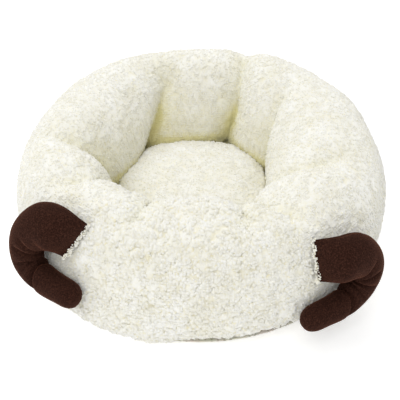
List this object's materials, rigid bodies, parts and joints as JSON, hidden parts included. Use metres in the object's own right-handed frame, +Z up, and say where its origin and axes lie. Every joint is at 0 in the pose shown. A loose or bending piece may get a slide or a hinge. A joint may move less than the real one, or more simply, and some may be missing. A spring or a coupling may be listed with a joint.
{
  "type": "pet bed",
  "caption": "Round stuffed pet bed in curly fleece: a puckered ring, a lift-out cushion with a zip underneath, and two stuffed ram's horns sewn to the front.",
  "frame": {"origin": "on the floor under the middle of the bed, at the centre of the flat base panel", "axes": "+Z up, -Y towards the front of the bed, between the horns; +X to the right, seen from the front"},
  "size_m": [0.5145, 0.5147, 0.1781],
  "materials": {
    "curly_fleece": "curly sherpa pile, matt",
    "lining_cloth": "short smooth pile, matt",
    "horn_fleece": "short napped fleece, chocolate brown, soft sheen",
    "fibre_filling": "loose polyester fibre",
    "non_slip_cloth": "woven cloth with small grip dots",
    "zip_tape": "woven tape",
    "zip_nylon": "moulded nylon coil",
    "zip_metal": "satin"
  },
  "bodies": {
    "bed": {"base_panel": "non_slip_cloth", "base_padding": "fibre_filling", "floor_lining": "lining_cloth", "bolster_filling": "fibre_filling", "bolster_front_cover": "curly_fleece", "bolster_back_cover": "curly_fleece"},
    "cushion": {"cushion_top_cover": "curly_fleece", "cushion_bottom_cover": "lining_cloth", "cushion_filling": "fibre_filling", "zip_tape_left": "zip_tape", "zip_tape_right": "zip_tape", "zip_coil_left": "zip_nylon", "zip_coil_right": "zip_nylon", "zip_stop_front": "zip_metal", "zip_stop_back": "zip_metal"},
    "zip_slider": {"zip_slider": "zip_metal"},
    "left_horn": {"left_horn_outer_panel": "horn_fleece", "left_horn_inner_panel": "horn_fleece", "left_horn_filling": "fibre_filling"},
    "right_horn": {"right_horn_outer_panel": "horn_fleece", "right_horn_inner_panel": "horn_fleece", "right_horn_filling": "fibre_filling"}
  },
  "joints": [
    {"name": "cushion_lift", "type": "slide", "parent": "bed", "child": "cushion", "axis": [0, 0, 1], "range_m": [0, 0.17]},
    {"name": "zip_slide", "type": "slide", "parent": "cushion", "child": "zip_slider", "axis": [0, 1, 0], "range_m": [0, 0.109]},
    {"name": "left_horn_swing", "type": "hinge", "parent": "bed", "child": "left_horn", "pos_m": [-0.1262, -0.1907, 0.1479], "axis": [-0.1547, 0.4313, 0.8889], "range_deg": [0, 45]},
    {"name": "right_horn_swing", "type": "hinge", "parent": "bed", "child": "right_horn", "pos_m": [0.1211, -0.2016, 0.14], "axis": [-0.2201, -0.324, -0.9201], "range_deg": [0, 45]}
  ]
}
